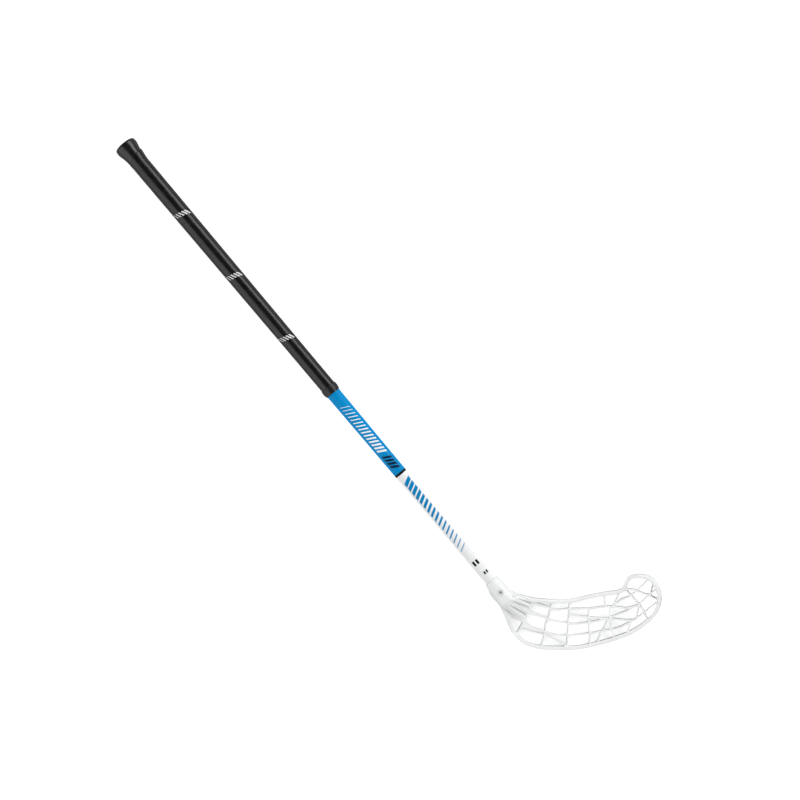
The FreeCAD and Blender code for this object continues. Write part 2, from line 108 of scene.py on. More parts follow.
cap_end = float(cap_stations[-1])
tape_low, tape_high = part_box("grip_tape")
band_low, band_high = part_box("finishing_band")
socket_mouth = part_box("blade")[0].x
floor_height = solid_box[0].z
print(f"shaft radius {shaft_radius(0.0) / mm:.1f} to {shaft_radius(socket_mouth) / mm:.1f} mm")
print(f"floor at {floor_height / mm:.1f} mm")

# %% [markdown]
# ## The camera
# The photograph looks straight down on the stick, which runs from the upper left to the right. A long lens
# keeps the shaft's edges straight and parallel. The width that the lens takes in follows from the length of
# the shaft in the photograph, so the stick fills the frame as it does there.

# %% Place the camera
picture_width = 1237.6 * mm  # what the square picture takes in at the height of the shaft's line
picture_middle = Vector((577.6 * mm, 72.1 * mm, 0.0))
camera_height = 3.0
shaft_slope = math.radians(49.94)  # how far the shaft falls from the level line in the picture

camera_data = bpy.data.cameras.new("studio_camera")
camera_data.lens = camera_data.sensor_width * camera_height / picture_width
camera = bpy.data.objects.new("studio_camera", camera_data)
camera.location = picture_middle + Vector((0.0, 0.0, camera_height))
camera.rotation_euler = (0.0, 0.0, shaft_slope)
scene.collection.objects.link(camera)
scene.camera = camera
scene.view_settings.view_transform = "Standard"
print(f"camera: {camera_data.lens:.1f} mm lens, {camera_height} m above the stick")

# %% [markdown]
# ## The light table
# White goods on white need light from everywhere and almost no shadow. A photographer lays them on a light
# table, a pale sheet that shines until the camera sees it as white. Here the sheet shines only in what the
# camera sees, so it doesn't light the stick from below. It shines more far off, where the lights hardly
# reach.

# %% Lay the light table
white_light = (1.0, 1.0, 1.0, 1.0)
sheet_surface = {"Base Color": (0.7, 0.705, 0.71, 1.0), "Roughness": 0.9, "Specular IOR Level": 0.0,
                 "Emission Color": white_light}


def sheet_finish(glow, far_glow, near, far):
    """A pale sheet that shines for the camera alone, by glow up to near and by far_glow from far on."""
    sheet = bpy.data.materials.new("light_table_sheet")
    sheet.use_nodes = True
    tree = sheet.node_tree
    shader = tree.nodes["Principled BSDF"]
    for label, value in sheet_surface.items():
        shader.inputs[label].default_value = value
    point = tree.nodes.new("ShaderNodeTexCoord")
    reach = tree.nodes.new("ShaderNodeVectorMath")
    reach.operation = "LENGTH"
    fade = tree.nodes.new("ShaderNodeMapRange")
    for label, value in (("From Min", near), ("From Max", far), ("To Min", glow), ("To Max", far_glow)):
        fade.inputs[label].default_value = value
    path = tree.nodes.new("ShaderNodeLightPath")
    seen = tree.nodes.new("ShaderNodeMath")
    seen.operation = "MULTIPLY"
    tree.links.new(point.outputs["Object"], reach.inputs[0])
    tree.links.new(reach.outputs["Value"], fade.inputs["Value"])
    tree.links.new(path.outputs["Is Camera Ray"], seen.inputs[0])
    tree.links.new(fade.outputs["Result"], seen.inputs[1])
    tree.links.new(seen.outputs["Value"], shader.inputs["Emission Strength"])
    return sheet


def lay_table(side, sheet):
    """A square sheet under the stick, at the lowest point of the solids."""
    half = side / 2.0
    corners = [(-half, -half, 0.0), (half, -half, 0.0), (half, half, 0.0), (-half, half, 0.0)]
    mesh = bpy.data.meshes.new("light_table")
    mesh.from_pydata(corners, [], [(0, 1, 2, 3)])
    mesh.materials.append(sheet)
    floor = bpy.data.objects.new("light_table", mesh)
    floor.location = (picture_middle.x, picture_middle.y, floor_height)
    scene.collection.objects.link(floor)
    print(f"light table: {side} m square")


lay_table(side=60.0, sheet=sheet_finish(glow=0.72, far_glow=0.9, near=0.7, far=2.5))

# %% [markdown]
# ## The sky
# The sky fills in the shade. It is dimmer overhead than at the level line, so the middle of the round grip
# stays dark. A camera that looks past the light table sees a pale backdrop instead, which lights nothing.

# %% Spread the sky


def spread_sky(level_light, top_light, backdrop):
    """A sky that dims from the level line to overhead, with a pale backdrop where the camera sees it."""
    world = bpy.data.worlds.new("studio_sky")
    world.use_nodes = True
    tree = world.node_tree
    tree.nodes.clear()
    place = tree.nodes.new("ShaderNodeTexCoord")
    parts = tree.nodes.new("ShaderNodeSeparateXYZ")
    fade = tree.nodes.new("ShaderNodeMapRange")
    fade.inputs["To Min"].default_value = level_light
    fade.inputs["To Max"].default_value = top_light
    light = tree.nodes.new("ShaderNodeBackground")
    seen = tree.nodes.new("ShaderNodeBackground")
    seen.inputs["Strength"].default_value = backdrop
    for shown in (light, seen):
        shown.inputs["Color"].default_value = white_light
    path = tree.nodes.new("ShaderNodeLightPath")
    mix = tree.nodes.new("ShaderNodeMixShader")
    out = tree.nodes.new("ShaderNodeOutputWorld")
    tree.links.new(place.outputs["Generated"], parts.inputs["Vector"])
    tree.links.new(parts.outputs["Z"], fade.inputs["Value"])
    tree.links.new(fade.outputs["Result"], light.inputs["Strength"])
    tree.links.new(path.outputs["Is Camera Ray"], mix.inputs["Fac"])
    tree.links.new(light.outputs["Background"], mix.inputs[1])
    tree.links.new(seen.outputs["Background"], mix.inputs[2])
    tree.links.new(mix.outputs["Shader"], out.inputs["Surface"])
    scene.world = world
    print(f"sky: {level_light} at the level line, {top_light} overhead")


spread_sky(level_light=0.22, top_light=0.06, backdrop=0.97)

# %% [markdown]
# ## The softboxes
# Two long area lights stand along the stick. The one on the toe side is narrower and stronger, and draws the
# bright line on the dark grip. The one on the heel side is a broad, dimmer wall, which lifts the shade on the
# white lacquer.

# %% Set up the softboxes


def add_softbox(name, away, height, length, width, watts):
    """A long softbox beside the shaft, turned to the shaft's line."""
    light = bpy.data.lights.new(name, "AREA")
    light.shape = "RECTANGLE"
    light.size = length
    light.size_y = width
    light.energy = watts
    box = bpy.data.objects.new(name, light)
    aim = Vector((picture_middle.x, 0.0, 0.0))
    box.location = aim + Vector((0.0, away, height))
    towards = (aim - box.location).normalized()
    along = Vector((1.0, 0.0, 0.0))
    box.rotation_euler = Matrix((along, (-towards).cross(along), -towards)).transposed().to_euler()
    box.visible_camera = False
    scene.collection.objects.link(box)
    print(f"{name}: {watts} W, {length} by {width} m")


add_softbox("toe_side_softbox", away=1.5, height=0.95, length=3.2, width=0.95, watts=43.0)
add_softbox("heel_side_wall", away=-1.5, height=0.95, length=3.4, width=2.2, watts=40.0)

# %% [markdown]
# ## Small helpers for pieces
# Each visible piece is a mesh in the stick's own frame. A piece rides on the stick's one body, takes its
# finish as its one material and hides the solid that it stands for. Three of the pieces are turned, as on a
# lathe: a closed profile beside the shaft's line, with its corners eased into small curves, is spun round it.

# %% Helpers that turn points into pieces
corner_share = 0.45  # the most of a side that the curve at one corner may use
profile_weld = 0.0005 * mm  # points of a turned piece that are nearer than this become one


def finished_piece(name, mesh, material, node):
    """Puts a mesh into the scene with its finish, in the place of a solid."""
    piece = bpy.data.objects.new(name, mesh)
    scene.collection.objects.link(piece)
    mesh.materials.clear()
    mesh.materials.append(material)
    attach(piece, "root")
    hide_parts(node)
    print(f"{name}: {len(mesh.polygons)} faces")


def mesh_from(name, shape):
    """The mesh of a finished bmesh, which is used up."""
    mesh = bpy.data.meshes.new(name)
    shape.to_mesh(mesh)
    shape.free()
    return mesh


def shade(mesh, corner_angle):
    """Smooth shading with a crisp line wherever the surface turns by more than the corner angle."""
    mesh.polygons.foreach_set("use_smooth", [True] * len(mesh.polygons))
    mesh.set_sharp_from_angle(angle=math.radians(corner_angle))


def rounded(profile, radius, steps):
    """The same closed profile with each corner off the shaft's line turned into a small curve."""
    points = [Vector(point) for point in profile]
    curve = []
    for index, corner in enumerate(points):
        if corner.y == 0.0:
            curve.append(corner)
            continue
        back = points[index - 1] - corner
        ahead = points[(index + 1) % len(points)] - corner
        reach = min(radius, corner_share * back.length, corner_share * ahead.length)
        start = corner + back.normalized() * reach
        end = corner + ahead.normalized() * reach
        for step in range(steps + 1):
            share = step / steps
            curve.append(start.lerp(corner, share).lerp(corner.lerp(end, share), share))
    return curve


def turned_mesh(name, profile, sides=128):
    """A closed profile of (distance, radius) points, turned about the shaft's line."""
    shape = bmesh.new()
    corners = [shape.verts.new((point[0], point[1], 0.0)) for point in profile]
    edges = [shape.edges.new((first, second)) for first, second in zip(corners, corners[1:] + corners[:1])]
    bmesh.ops.spin(shape, geom=corners + edges, cent=(0.0, 0.0, 0.0), axis=(1.0, 0.0, 0.0),
                   angle=2.0 * math.pi, steps=sides, use_merge=True)
    bmesh.ops.remove_doubles(shape, verts=shape.verts, dist=profile_weld)
    bmesh.ops.recalc_face_normals(shape, faces=shape.faces)
    return mesh_from(name, shape)


print("helpers ready")

# %% [markdown]
# ## Small helpers for nodes
# A node tree is easier to read as a list of steps than as a list of sockets and links. Most helpers below
# make one node. A plain number or colour is typed on its socket, and the output of another node is linked
# into it, so one call can take either. Two more helpers start a group of nodes and place it.

# %% Helpers that place nodes


def feed(tree, socket, value):
    """Types a plain value on a socket, or links the output of another node into it."""
    if isinstance(value, bpy.types.NodeSocket):
        tree.links.new(value, socket)
    else:
        socket.default_value = value


def object_point(tree):
    """The place of a surface point in the stick's own frame."""
    return tree.nodes.new("ShaderNodeTexCoord").outputs["Object"]


def separate(tree, vector):
    """The parts of a vector, under the names X, Y and Z."""
    node = tree.nodes.new("ShaderNodeSeparateXYZ")
    tree.links.new(vector, node.inputs["Vector"])
    return node.outputs


def math_step(tree, operation, *values, clamp=False):
    node = tree.nodes.new("ShaderNodeMath")
    node.operation = operation
    node.use_clamp = clamp
    for socket, value in zip(node.inputs, values):
        feed(tree, socket, value)
    return node.outputs["Value"]


def remap(tree, value, span, to_span=(0.0, 1.0)):
    """Carries one span of values over to another in a smooth curve, and holds still outside it."""
    node = tree.nodes.new("ShaderNodeMapRange")
    node.interpolation_type = "SMOOTHSTEP"
    for label, number in zip(("From Min", "From Max", "To Min", "To Max"), (*span, *to_span)):
        node.inputs[label].default_value = number
    tree.links.new(value, node.inputs["Value"])
    return node.outputs["Result"]


def noise(tree, scale, detail, vector=None, roughness=0.5):
    node = tree.nodes.new("ShaderNodeTexNoise")
    for label, value in (("Scale", scale), ("Detail", detail), ("Roughness", roughness)):
        feed(tree, node.inputs[label], value)
    tree.links.new(object_point(tree) if vector is None else vector, node.inputs["Vector"])
    return node.outputs["Fac"]


def new_group(name, inputs, outputs):
    """An empty shader group with named number inputs and number outputs."""
    group = bpy.data.node_groups.new(name, "ShaderNodeTree")
    for label, default in inputs.items():
        socket = group.interface.new_socket(label, in_out="INPUT", socket_type="NodeSocketFloat")
        socket.default_value = default
    for label in outputs:
        group.interface.new_socket(label, in_out="OUTPUT", socket_type="NodeSocketFloat")
    entry = group.nodes.new("NodeGroupInput")
    leave = group.nodes.new("NodeGroupOutput")
    return group, entry.outputs, leave.inputs


def use_group(tree, group, **values):
    """Places a group. Underscores in a name stand for the spaces in the socket's label."""
    node = tree.nodes.new("ShaderNodeGroup")
    node.node_tree = group
    for label, value in values.items():
        feed(tree, node.inputs[label.replace("_", " ").capitalize()], value)
    return node.outputs


print("node helpers ready")

# %% [markdown]
# ## Shared effects, first: where a point is on the stick
# Print on a tube follows the tube. The distance along the shaft is a plain coordinate. The angle round it
# comes from the arctangent of the other two, and times the radius it becomes an arc length, so a bar of print
# keeps its width as it goes round. Print repeats on the far side, so the angle is folded at a half turn.

# %% The group for places on the stick


def build_place_group():
    group, entry, leave = new_group("place_on_stick", {"Radius": 10.0 * mm}, ["Distance", "Front arc", "Arc"])
    parts = separate(group, object_point(group))
    angle = math_step(group, "ARCTAN2", parts["Y"], parts["Z"])
    folded = math_step(group, "WRAP", angle, math.pi / 2.0, -math.pi / 2.0)
    group.links.new(parts["X"], leave["Distance"])
    group.links.new(math_step(group, "MULTIPLY", folded, entry["Radius"]), leave["Front arc"])
    group.links.new(math_step(group, "MULTIPLY", angle, entry["Radius"]), leave["Arc"])
    return group


place_on_stick = build_place_group()
print("group:", place_on_stick.name)

# %% [markdown]
# ## Shared effects, second: rows of printed bars
# The stick's print is plain decoration: slanted bars whose width grows or shrinks along the row. One row is
# a saw tooth along the row, cut off at a share of its pitch. The share steps from bar to bar, so each bar
# keeps straight sides. The same group draws the rows on the lacquer and the small marks on the tape.

# %% The group for a row of bars
print_edge = 0.12 * mm  # how wide the soft edge of a bar is


def build_bar_group():
    group, entry, leave = new_group(
        "printed_bars",
        {"Along": 0.0, "Across": 0.0, "First": 0.0, "Last": 0.1, "Pitch": 0.01, "First share": 0.5,
         "Last share": 0.5, "Reach": 0.005, "Slant": 0.0},
        ["Mask"])
    edge = 1.0 / print_edge
    lean = math_step(group, "MULTIPLY", entry["Across"], entry["Slant"])
    along = math_step(group, "SUBTRACT", entry["Along"], lean)
    gone = math_step(group, "SUBTRACT", along, entry["First"])
    teeth = math_step(group, "DIVIDE", gone, entry["Pitch"])
    number = math_step(group, "FLOOR", teeth)
    phase = math_step(group, "SUBTRACT", teeth, number)
    length = math_step(group, "SUBTRACT", entry["Last"], entry["First"])
    count = math_step(group, "DIVIDE", length, entry["Pitch"])
    progress = math_step(group, "DIVIDE", number, count, clamp=True)
    growth = math_step(group, "SUBTRACT", entry["Last share"], entry["First share"])
    share = math_step(group, "MULTIPLY_ADD", growth, progress, entry["First share"])
    left = math_step(group, "SUBTRACT", share, phase)
    left_length = math_step(group, "MULTIPLY", left, entry["Pitch"])
    to_last = math_step(group, "SUBTRACT", entry["Last"], along)
    off_middle = math_step(group, "ABSOLUTE", entry["Across"])
    to_side = math_step(group, "SUBTRACT", entry["Reach"], off_middle)
    mask = math_step(group, "MULTIPLY", left_length, edge, clamp=True)
    for room in (gone, to_last, to_side):
        mask = math_step(group, "MULTIPLY", mask, math_step(group, "MULTIPLY", room, edge, clamp=True))
    group.links.new(mask, leave["Mask"])
    return group


printed_bars = build_bar_group()
print("group:", printed_bars.name)

# %% [markdown]
# ## Shared effects, third: moulded grain and handling
# No plastic part is one even colour. A mould leaves a fine spark-eroded grain, melt flow leaves a slow
# change of tone, and handling rubs the edges and leaves short scuffs. Noise at two scales gives the grain and
# the tone. The edges come from the surface's own sharpness, which the renderer measures on the mesh. Scuffs
# are noise again, squeezed in two directions until it becomes streaks.

# %% The groups for grain and wear
edge_sharpness = (0.52, 0.62)  # from where an edge starts to wear to where it is fully rubbed
patch_scale = 90.0
patch_span = (0.42, 0.62)  # what part of the noise breaks the worn edges up into patches
streak_squeeze = (1.0, 9.0, 9.0)
streak_turn = (0.3, 0.2, 0.7)
streak_span = (0.6, 0.72)  # only the peaks of the noise become scuffs


def build_grain_group():
    group, entry, leave = new_group("moulded_grain", {"Grain": 3000.0, "Flow": 40.0}, ["Height", "Tone"])
    group.links.new(noise(group, entry["Grain"], detail=2.0), leave["Height"])
    group.links.new(noise(group, entry["Flow"], detail=3.0), leave["Tone"])
    return group


def build_wear_group():
    group, entry, leave = new_group("handling_wear", {"Scuff scale": 60.0}, ["Edge", "Scuffs"])
    surface = group.nodes.new("ShaderNodeNewGeometry")
    sharp = remap(group, surface.outputs["Pointiness"], edge_sharpness)
    patches = remap(group, noise(group, patch_scale, detail=3.0), patch_span)
    group.links.new(math_step(group, "MULTIPLY", sharp, patches), leave["Edge"])
    squeeze = group.nodes.new("ShaderNodeMapping")
    squeeze.inputs["Scale"].default_value = streak_squeeze
    squeeze.inputs["Rotation"].default_value = streak_turn
    group.links.new(object_point(group), squeeze.inputs["Vector"])
    streaks = noise(group, entry["Scuff scale"], detail=4.0, vector=squeeze.outputs["Vector"], roughness=0.65)
    group.links.new(remap(group, streaks, streak_span), leave["Scuffs"])
    return group


moulded_grain = build_grain_group()
handling_wear = build_wear_group()
print("groups:", moulded_grain.name, handling_wear.name)

# %% [markdown]
# ## A finish is a shader plus what changes over the surface
# Each material below keeps its Principled shader in its own tree. What is the same all over is typed on the
# shader's socket. Only colour, roughness and the bump change from place to place, and those are linked in.

# %% Helpers for finishes
tone_span = (0.3, 0.7)  # most of what the slow noise takes in
colour_inputs = (6, 7)  # a Mix node has sockets for each kind of value, and these are its colours
colour_output = 2


def new_finish(name, **constants):
    """A material and its shader. Underscores in a name stand for the spaces in the socket's label."""
    material = bpy.data.materials.new(name)
    material.use_nodes = True
    tree = material.node_tree
    shader = tree.nodes["Principled BSDF"]
    for label, value in constants.items():
        shader.inputs[label.replace("_", " ")].default_value = value
    return material, tree, shader


def mix_colours(tree, mask, first, second):
    """The first colour where the mask is zero, the second where it is one."""
    node = tree.nodes.new("ShaderNodeMix")
    node.data_type = "RGBA"
    tree.links.new(mask, node.inputs["Factor"])
    for index, colour in zip(colour_inputs, (first, second)):
        feed(tree, node.inputs[index], (*colour, 1.0) if isinstance(colour, tuple) else colour)
    return node.outputs[colour_output]


def tint(tree, colour, mask, strength, towards):
    """A colour that is carried some of the way towards another where the mask is one."""
    return mix_colours(tree, math_step(tree, "MULTIPLY", mask, strength), colour, towards)


def vary_roughness(tree, shader, tone, smoothest, roughest):
    tree.links.new(remap(tree, tone, tone_span, (smoothest, roughest)), shader.inputs["Roughness"])


def add_bump(tree, shader, height, depth, normal=None):
    """Puts a bump on the shader, on top of the one whose normal is given. Returns its own normal."""
    node = tree.nodes.new("ShaderNodeBump")
    node.inputs["Strength"].default_value = 1.0
    node.inputs["Distance"].default_value = depth
    tree.links.new(height, node.inputs["Height"])
    if normal is not None:
        tree.links.new(normal, node.inputs["Normal"])
    tree.links.new(node.outputs["Normal"], shader.inputs["Normal"])
    return node.outputs["Normal"]


print("finish helpers ready")

# %% [markdown]
# ## The blade's plastic
# The blade is white polyethylene: satin, a little waxy and faintly uneven. Waxy means that light goes in and
# comes out again nearby, which is what the shader's subsurface does. The sole scrapes along a hall floor, so
# the sharpest edges carry a touch of grey, and short scuffs run over the faces. The walls that stand upright
# get painted shade: a mask on the upright part of the surface direction makes them greyer.

# %% White satin plastic
blade_whites = ((0.86, 0.865, 0.87), (0.92, 0.925, 0.93))
rubbed_white = (0.62, 0.63, 0.64)
scuffed_white = (0.55, 0.56, 0.58)
wall_shade_grey = (0.56, 0.57, 0.58)
wall_shade_share = 0.75  # how much painted shade an upright wall gets
upright_span = (0.25, 0.85)  # upright part of the surface direction, from full painted shade to none


def blade_finish():
    material, tree, shader = new_finish(
        "white_blade_plastic", Specular_IOR_Level=0.35, IOR=1.51, Subsurface_Weight=0.35,
        Subsurface_Radius=(1.0, 1.0, 1.0), Subsurface_Scale=3.0 * mm)
    grain = use_group(tree, moulded_grain, grain=2600.0, flow=28.0)
    wear = use_group(tree, handling_wear, scuff_scale=70.0)
    facing = separate(tree, tree.nodes.new("ShaderNodeNewGeometry").outputs["Normal"])
    facing_up = math_step(tree, "ABSOLUTE", facing["Z"])
    # Painted shade: upright walls turn grey, as if the light from above missed them.
    wall_shade_mask = remap(tree, facing_up, upright_span, (wall_shade_share, 0.0))
    colour = mix_colours(tree, grain["Tone"], *blade_whites)
    colour = mix_colours(tree, wall_shade_mask, colour, wall_shade_grey)
    colour = tint(tree, colour, wear["Edge"], strength=0.35, towards=rubbed_white)
    colour = tint(tree, colour, wear["Scuffs"], strength=0.1, towards=scuffed_white)
    tree.links.new(colour, shader.inputs["Base Color"])
    vary_roughness(tree, shader, grain["Tone"], smoothest=0.36, roughest=0.5)
    add_bump(tree, shader, grain["Height"], depth=0.02 * mm)
    return material


white_blade_plastic = blade_finish()
print("finish:", white_blade_plastic.name)

# %% [markdown]
# ## The slots in the blade's fan
# Below the neck the blade fans out into a solid web with three slots in it. They are deep in the solid and
# shallow grooves on the object. So their floors are lifted, to a small depth under the fan's top, which falls
# towards the ribs and towards the toe. Moving the corners of a few faces is all that it takes.

# %% Lift the floors of the slots
slot_zone = (Vector((920.0, -5.0, -13.5)) * mm, Vector((959.0, 26.0, -8.5)) * mm)  # where their floors are
slot_depth = 2.4 * mm
fan_top = Vector((940.0, 5.0, 2.45)) * mm  # one point of the fan's top, between two slots
fan_fall = Vector((-0.5, -0.105))  # how steeply the fan's top falls along the shaft and towards the toe
level_share = 0.95  # a floor faces up at least this squarely
solid_weld = 0.001 * mm


def lifted_slots(node):
    """A copy of the solid's mesh with the floors of the slots moved up."""
    low, high = slot_zone
    shape = bmesh.new()
    shape.from_mesh(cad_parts[node].data)
    bmesh.ops.remove_doubles(shape, verts=shape.verts, dist=solid_weld)
    floors = [face for face in shape.faces if face.normal.z > level_share
              and all(low[axis] < face.calc_center_median()[axis] < high[axis] for axis in range(3))]
    for corner in {corner for face in floors for corner in face.verts}:
        away = corner.co - fan_top
        corner.co.z = fan_top.z + away.xy.dot(fan_fall) - slot_depth
    print(f"{node}: {len(floors)} faces of slot floor lifted")
    return mesh_from(node + "_source", shape)


blade_source = lifted_slots("blade")

# %% [markdown]
# ## The blade
# The solid has every rib and wall in place, but its edges are knife sharp. A moulding has none: steel tools
# leave a small radius on every edge and a fillet where ribs meet. A bevel trips over so many crossing ribs.
# A voxel remesh doesn't: it wraps the solid in an even skin, and smoothing that skin rounds all edges alike.
# A collapse then takes out the points that flat walls don't need.

# %% Skin the blade
blade_voxel = 0.55 * mm
blade_smoothing = 12
blade_kept_share = 0.33


def skinned_mesh(name, source_mesh, voxel, smoothing, kept_share):
    """An even, softened skin round a mesh, which is used up."""
    source = bpy.data.objects.new("skin_source", source_mesh)
    scene.collection.objects.link(source)
    remesh = source.modifiers.new("skin", "REMESH")
    remesh.mode = "VOXEL"
    remesh.voxel_size = voxel
    smooth = source.modifiers.new("soften", "SMOOTH")
    smooth.factor = 0.5
    smooth.iterations = smoothing
    thin = source.modifiers.new("thin", "DECIMATE")
    thin.ratio = kept_share
    mesh = bpy.data.meshes.new_from_object(source.evaluated_get(bpy.context.evaluated_depsgraph_get()))
    bpy.data.objects.remove(source)
    bpy.data.meshes.remove(source_mesh)
    mesh.name = name
    mesh.polygons.foreach_set("use_smooth", [True] * len(mesh.polygons))
    return mesh


blade_mesh = skinned_mesh("blade_moulding", blade_source, blade_voxel, blade_smoothing, blade_kept_share)
finished_piece("blade_moulding", blade_mesh, white_blade_plastic, "blade")

# %% [markdown]
# ## The lacquered shaft
# The tube is painted blue above and white below, with a thin black ring where they meet. The colours are
# masks on the distance along the shaft, and the rows of bars come from the group above. Rows run along the
# shaft, and the small marks near the blade are short rows that run round it. A thin clear coat lies over the
# print. It is the shader's own coat layer, and it is weak, because a strong one washes out the deep blue.

# %% Colours and print of the lacquer
ring_start = 662.6 * mm
ring_end = 666.5 * mm
ring_black = (0.008, 0.008, 0.009)
lacquer_blues = ((0.0005, 0.232, 0.535), (0.001, 0.265, 0.60))
lacquer_whites = ((0.82, 0.825, 0.83), (0.87, 0.875, 0.88))
print_white = (0.86, 0.87, 0.88)
print_navy = (0.004, 0.02, 0.06)
print_blue = (0.002, 0.22, 0.50)
print_black = (0.015, 0.015, 0.017)
scuffed_lacquer = (0.45, 0.46, 0.48)


def beyond(tree, distance, place):
    """One beyond a place along the shaft, zero before it."""
    return math_step(tree, "GREATER_THAN", distance, place)


def shaft_finish():
    material, tree, shader = new_finish(
        "printed_lacquer", Specular_IOR_Level=0.04, Coat_Weight=0.06, Coat_Roughness=0.1)
    place = use_group(tree, place_on_stick, radius=shaft_radius(ring_start))
    grain = use_group(tree, moulded_grain, grain=900.0, flow=22.0)
    wear = use_group(tree, handling_wear, scuff_scale=45.0)
    distance = place["Distance"]
    arc = place["Front arc"]

    def row(**sizes):
        return use_group(tree, printed_bars, along=distance, across=arc, **sizes)["Mask"]

    def small_mark(middle, **sizes):
        from_middle = math_step(tree, "SUBTRACT", distance, middle)
        return use_group(tree, printed_bars, along=arc, across=from_middle, first_share=0.66, last_share=0.66,
                         slant=0.0, **sizes)["Mask"]

    white_row = row(first=531.0 * mm, last=624.0 * mm, pitch=6.2 * mm, first_share=0.16, last_share=0.62,
                    reach=6.8 * mm, slant=0.55)
    navy_row = row(first=630.0 * mm, last=654.7 * mm, pitch=6.2 * mm, first_share=0.66, last_share=0.8,
                   reach=6.8 * mm, slant=0.55)
    blue_row = row(first=678.0 * mm, last=822.0 * mm, pitch=9.0 * mm, first_share=0.78, last_share=0.14,
                   reach=7.5 * mm, slant=-0.5)
    upper_mark = small_mark(845.0 * mm, first=-5.5 * mm, last=7.0 * mm, pitch=6.5 * mm, reach=4.2 * mm)
    lower_mark = small_mark(865.5 * mm, first=-1.0 * mm, last=8.6 * mm, pitch=5.0 * mm, reach=2.6 * mm)

    blue = mix_colours(tree, grain["Tone"], *lacquer_blues)
    white = mix_colours(tree, grain["Tone"], *lacquer_whites)
    for mask, ink in ((white_row, print_white), (navy_row, print_navy)):
        blue = mix_colours(tree, mask, blue, ink)
    for mask, ink in ((blue_row, print_blue), (upper_mark, print_black), (lower_mark, print_black)):
        white = mix_colours(tree, mask, white, ink)
    colour = mix_colours(tree, beyond(tree, distance, ring_start), blue, ring_black)
    colour = mix_colours(tree, beyond(tree, distance, ring_end), colour, white)
    colour = tint(tree, colour, wear["Scuffs"], strength=0.06, towards=scuffed_lacquer)
    tree.links.new(colour, shader.inputs["Base Color"])
    vary_roughness(tree, shader, grain["Tone"], smoothest=0.3, roughest=0.42)
    add_bump(tree, shader, grain["Height"], depth=0.004 * mm)
    return material


shaft_lacquer = shaft_finish()
print("finish:", shaft_lacquer.name)

# %% [markdown]
# ## The shaft
# A tube is a profile turned about its line. The solid's own rings give the outside. The wall gives the bore,
# and the end inside the blade is a little thinner, because the lacquer stops at the neck.

# %% Turn the shaft
shaft_wall = 1.8 * mm
shaft_edge = 0.3 * mm
taper_end = 750.0 * mm  # from here to the blade the tube is a plain cylinder


def turn_shaft():
    first, last = shaft_stations[0], shaft_stations[-1]
    places = [first, band_high.x, ring_start, ring_end, taper_end, socket_mouth]
    outside = [(x, shaft_radius(x)) for x in places]
    seat = shaft_radius(last) - shaft_edge / 2.0
    tip = [(socket_mouth, seat), (last, seat)]
    bore = [(x, radius - shaft_wall) for x, radius in reversed(outside[:-1])]
    profile = outside + tip + [(last, seat - shaft_wall)] + bore
    return turned_mesh("shaft_tube", rounded(profile, shaft_edge, steps=3))


shaft_mesh = turn_shaft()
shade(shaft_mesh, corner_angle=35.0)
finished_piece("shaft_tube", shaft_mesh, shaft_lacquer, "shaft")

# %% [markdown]
# ## The cap's plastic
# The cap is black moulded plastic with a soft shine. Black hides a change of colour, so what shows that the
# cap is used is its wear: the edges are rubbed to a dark grey, and a few scuffs catch the light.

# %% Black plastic for the cap
cap_blacks = ((0.004, 0.004, 0.004), (0.009, 0.009, 0.009))
rubbed_black = (0.1, 0.1, 0.1)
scuffed_black = (0.12, 0.12, 0.12)


def cap_finish():
    material, tree, shader = new_finish("black_cap_plastic", Specular_IOR_Level=0.42)
    grain = use_group(tree, moulded_grain, grain=2400.0, flow=60.0)
    wear = use_group(tree, handling_wear, scuff_scale=110.0)
    colour = mix_colours(tree, grain["Tone"], *cap_blacks)
    colour = tint(tree, colour, wear["Edge"], strength=0.3, towards=rubbed_black)
    colour = tint(tree, colour, wear["Scuffs"], strength=0.12, towards=scuffed_black)
    tree.links.new(colour, shader.inputs["Base Color"])
    vary_roughness(tree, shader, grain["Tone"], smoothest=0.2, roughest=0.3)
    add_bump(tree, shader, grain["Height"], depth=0.02 * mm)
    return material


black_cap_plastic = cap_finish()
print("finish:", black_cap_plastic.name)

# %% [markdown]
# ## The end cap
# The cap is a knob that keeps the stick in the hand. Its outside follows the solid's profile, a little fuller
# at the flare and with softer edges. Its skirt and spigot hold the tube between them, as on the real part.

# %% Turn the end cap
cap_edge = 0.8 * mm
cap_ring_count = 40
cap_fullness = 0.7 * mm  # how far the flare bulges beyond the solid, at its fullest
cap_full_place = 11.0 * mm
cap_full_reach = 6.0 * mm
cap_clearance = 0.1 * mm
cap_floor = shaft_stations[0]
spigot_wall = 2.0 * mm
spigot_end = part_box("end_cap")[1].x


def full_cap_radius(x):
    bulge = math.exp(-((x - cap_full_place) / cap_full_reach) ** 2)
    return cap_radius(x) + cap_fullness * bulge


def turn_cap():
    stations = np.linspace(0.0, cap_end, cap_ring_count)[1:-1]
    face = [(0.0, 0.0), (0.0, float(cap_radii[0]))]
    outside = [(float(x), full_cap_radius(x)) for x in stations]
    skirt = shaft_radius(cap_end) + cap_clearance
    spigot = shaft_radius(cap_end) - shaft_wall - cap_clearance
    hollow = spigot - spigot_wall
    inside = [(cap_end, cap_radius(cap_end)), (cap_end, skirt),
              (cap_floor, shaft_radius(cap_floor) + cap_clearance), (cap_floor, spigot),
              (spigot_end, spigot), (spigot_end, hollow),
              (cap_floor + spigot_wall, hollow), (cap_floor + spigot_wall, 0.0)]
    return turned_mesh("end_cap_knob", rounded(face + outside + inside, cap_edge, steps=3))


cap_mesh = turn_cap()
shade(cap_mesh, corner_angle=50.0)
finished_piece("end_cap_knob", cap_mesh, black_cap_plastic, "end_cap")

